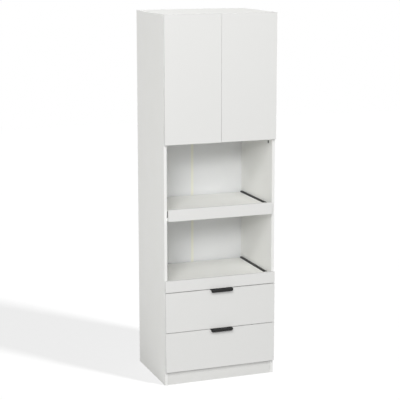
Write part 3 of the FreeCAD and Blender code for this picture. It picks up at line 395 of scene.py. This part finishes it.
# Powder coat bakes to fine pebbles, about 0.5 mm across. They are drawn twice as coarse to show.
powder_coat = finish("powder_coated_steel_matt_black", ("#202020", "#1B1B1B"), 0.62, 0.05,
                     patch=8 * MM, grain=1 * MM, relief=0.04 * MM)
shader = powder_coat.node_tree.nodes["Principled BSDF"]
shader.inputs["Specular IOR Level"].default_value = POWDER_SPECULAR
for moving in DRAWERS:
    lowest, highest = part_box(f"{moving}_pull")
    pull = folded_sheet(f"{moving}_pull_sheet", lowest, highest,
                        PULL_FLANGE, PULL_LIP, PULL_BEND, PULL_CORNER)
    pull.data.materials.append(powder_coat)
    sheet = pull.modifiers.new("sheet", "SOLIDIFY")
    sheet.thickness = PULL_SHEET
    sheet.offset = -1
    edge = pull.modifiers.new("deburred edge", "BEVEL")
    edge.width = PULL_EDGE
    edge.segments = 2
    edge.limit_method = "ANGLE"
    edge.angle_limit = math.radians(PULL_EDGE_ANGLE)
    edge.harden_normals = True
    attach(pull, moving)
    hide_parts(f"{moving}_pull")

# ---------------------------------------------------------------- doors, hinges and buffers
# Two lacquered doors close over the cupboard without handles. Nickel-plated concealed hinges carry
# them, and soft clear domes on the carcass take the blow when they close.
BUFFER_RADIUS = 4 * MM
GEL_CLEARNESS = 0.9
# Nickel is warmer than zinc, and the pressed parts are smooth enough to gleam.
nickel = finish("nickel_plated_steel_pressed", ("#CFC9BD", "#BDB7AB"), 0.26, 0.06,
                patch=5 * MM, grain=0.6 * MM, relief=0.006 * MM, metallic=1.0)
for hand in ("left", "right"):
    board(f"door_{hand}", FRONT_RADIUS, lacquer, lacquer)
    dress((f"hinge_cups_{hand}", f"hinge_links_{hand}"), nickel)
dress(("hinge_arms", "hinge_plates"), nickel)

# Soft clear polyurethane lets the white board show through.
buffer_gel = finish("clear_polyurethane_soft", ("#F4F5F5", "#EDEFEF"), 0.12, 0.02,
                    patch=4 * MM, grain=1 * MM, relief=0.005 * MM)
shader = buffer_gel.node_tree.nodes["Principled BSDF"]
shader.inputs["Transmission Weight"].default_value = GEL_CLEARNESS
low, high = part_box("door_buffers")
buffers = buttons("door_buffer_domes",
                  [(x, high.y, z) for x in (low.x + BUFFER_RADIUS, high.x - BUFFER_RADIUS)
                   for z in (low.z + BUFFER_RADIUS, high.z - BUFFER_RADIUS)],
                  (0, -1, 0), BUFFER_RADIUS, high.y - low.y, buffer_gel)
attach(buffers, "carcass")
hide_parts("door_buffers")


# ---------------------------------------------------------------- floor
# A pale studio floor, matt and even. The camera sees it mostly as plain white, and the rest is the
# floor's own light with the cabinet's shadow in it. It throws back less light than it shows, so
# that the cabinet's foot isn't lit from below.
def looked_at(material):
    """1 for the camera's rays, and for those that gloss or clear plastic sends on, else 0."""
    path = add(material, "LightPath").outputs
    plain = add(material, "Math", {0: path["Is Camera Ray"], 1: path["Is Glossy Ray"]},
                operation="MAXIMUM").outputs[0]
    return add(material, "Math", {0: plain, 1: path["Is Transmission Ray"]},
               operation="MAXIMUM").outputs[0]


FLOOR_HALF = 9.0
FLOOR_WHITENESS = 0.81
FLOOR_THROWN, FLOOR_SEEN = "#969696", "#E8E8E8"
PLAIN_WHITE = (1, 1, 1, 1)
floor_mesh = bpy.data.meshes.new("studio_floor")
edge_x, edge_y = np.meshgrid((-FLOOR_HALF, FLOOR_HALF), (-FLOOR_HALF, FLOOR_HALF))
corners = np.stack([edge_x.ravel(), edge_y.ravel(), np.zeros(4)], -1)
floor_mesh.from_pydata(corners, [], [(0, 1, 3, 2)])
floor = bring_in(floor_mesh)
studio_floor = bpy.data.materials.new("studio_floor_matt_white")
studio_floor.use_nodes = True
studio_floor.node_tree.nodes.clear()
seen = looked_at(studio_floor)
share = add(studio_floor, "Math", {0: seen, 1: FLOOR_WHITENESS}, operation="MULTIPLY").outputs[0]
tone = add(studio_floor, "Mix", {"Factor": seen, MIX_FIRST: linear(FLOOR_THROWN),
                                 MIX_SECOND: linear(FLOOR_SEEN)}, data_type="RGBA")
matt = add(studio_floor, "BsdfDiffuse", {"Color": tone.outputs[MIX_RESULT]}).outputs[0]
white = add(studio_floor, "Emission", {"Color": PLAIN_WHITE, "Strength": 1.0}).outputs[0]
upper = add(studio_floor, "MixShader", {0: share, 1: matt, 2: white}).outputs[0]
# From below it is clear, so that a view from there shows the cabinet's underside.
clear = add(studio_floor, "BsdfTransparent").outputs[0]
under = add(studio_floor, "NewGeometry").outputs["Backfacing"]
whole = add(studio_floor, "MixShader", {0: under, 1: upper, 2: clear}).outputs[0]
add(studio_floor, "OutputMaterial", {"Surface": whole})
floor_mesh.materials.append(studio_floor)

# ---------------------------------------------------------------- light
# A plain white room, a low and a high soft box from the left front, a weaker one from the front,
# and fills at the left, the right and the back. A low lamp from the right front only draws the
# shadow on the floor, and none of the others light the floor.
ROOM_LEVEL = 0.2
world = bpy.data.worlds.new("plain_white_room")
world.use_nodes = True
bpy.context.scene.world = world
world.node_tree.nodes.clear()
level = add(world, "MapRange", {"Value": looked_at(world), "To Min": ROOM_LEVEL, "To Max": 1.0})
room = add(world, "Background", {"Color": PLAIN_WHITE, "Strength": level.outputs["Result"]})
add(world, "OutputWorld", {"Surface": room.outputs[0]})


def lamp(name, kind, energy, azimuth, elevation, distance, lights_floor=False, **settings):
    """A lamp that looks at the cabinet's middle from an azimuth, measured from the front towards
    the right, an elevation and a distance. It lights the floor alone, or all but the floor."""
    data = bpy.data.lights.new(name, kind)
    data.energy = energy
    for setting, value in settings.items():
        setattr(data, setting, value)
    made = bring_in(data)
    turn, rise = math.radians(azimuth), math.radians(elevation)
    away = Vector((math.sin(turn) * math.cos(rise), -math.cos(turn) * math.cos(rise),
                   math.sin(rise)))
    made.location = (cad_box[0] + cad_box[1]) / 2 + away * distance
    made.rotation_euler = away.to_track_quat("Z", "Y").to_euler()
    reach = bpy.data.collections.new(name + "_reach")
    reach.objects.link(floor)
    made.light_linking.receiver_collection = reach
    reach.collection_objects[0].light_linking.link_state = "INCLUDE" if lights_floor else "EXCLUDE"


lamp("soft_box_low", "AREA", energy=325, azimuth=-28, elevation=20, distance=10,
     shape="RECTANGLE", size=3.5, size_y=1.75)
lamp("soft_box_high", "AREA", energy=500, azimuth=-28, elevation=40, distance=12,
     shape="RECTANGLE", size=4.5, size_y=3)
lamp("soft_box_front", "AREA", energy=92, azimuth=10, elevation=30, distance=8,
     shape="RECTANGLE", size=3, size_y=2)
lamp("left_fill", "AREA", energy=15, azimuth=-80, elevation=-8, distance=3.6,
     shape="RECTANGLE", size=2, size_y=0.8)
lamp("right_fill", "AREA", energy=240, azimuth=105, elevation=8, distance=8,
     shape="RECTANGLE", size=3, size_y=3)
lamp("back_fill", "AREA", energy=260, azimuth=190, elevation=30, distance=8,
     shape="RECTANGLE", size=3, size_y=3)
lamp("shadow_lamp", "SUN", energy=5.9, azimuth=37, elevation=35, distance=6,
     lights_floor=True, angle=math.radians(6))

# ---------------------------------------------------------------- camera
# The place, turn and lens come from a fit of the cabinet's straight edges to the photograph. The
# fit was held to a small vertical shift, so the other views stay framed.
IMAGE_PIXELS, FOCAL_PIXELS, SENSOR = 400, 1293.8, 36.0
SHIFT_RIGHT, SHIFT_UP = -5, -16
YAW, PITCH = 20.586, 10.702
EYE = (-2.3321, -6.1860, 2.2471)
FURTHEST_SEEN = 100
lens = bpy.data.cameras.new("camera")
lens.sensor_width = SENSOR
lens.lens = SENSOR * FOCAL_PIXELS / IMAGE_PIXELS
lens.shift_x = SHIFT_RIGHT / IMAGE_PIXELS
lens.shift_y = SHIFT_UP / IMAGE_PIXELS
lens.clip_end = FURTHEST_SEEN
camera = bring_in(lens)
camera.location = EYE
camera.rotation_euler = (math.radians(90 - PITCH), 0, math.radians(-YAW))
bpy.context.scene.camera = camera
bpy.context.scene.view_settings.view_transform = "Standard"
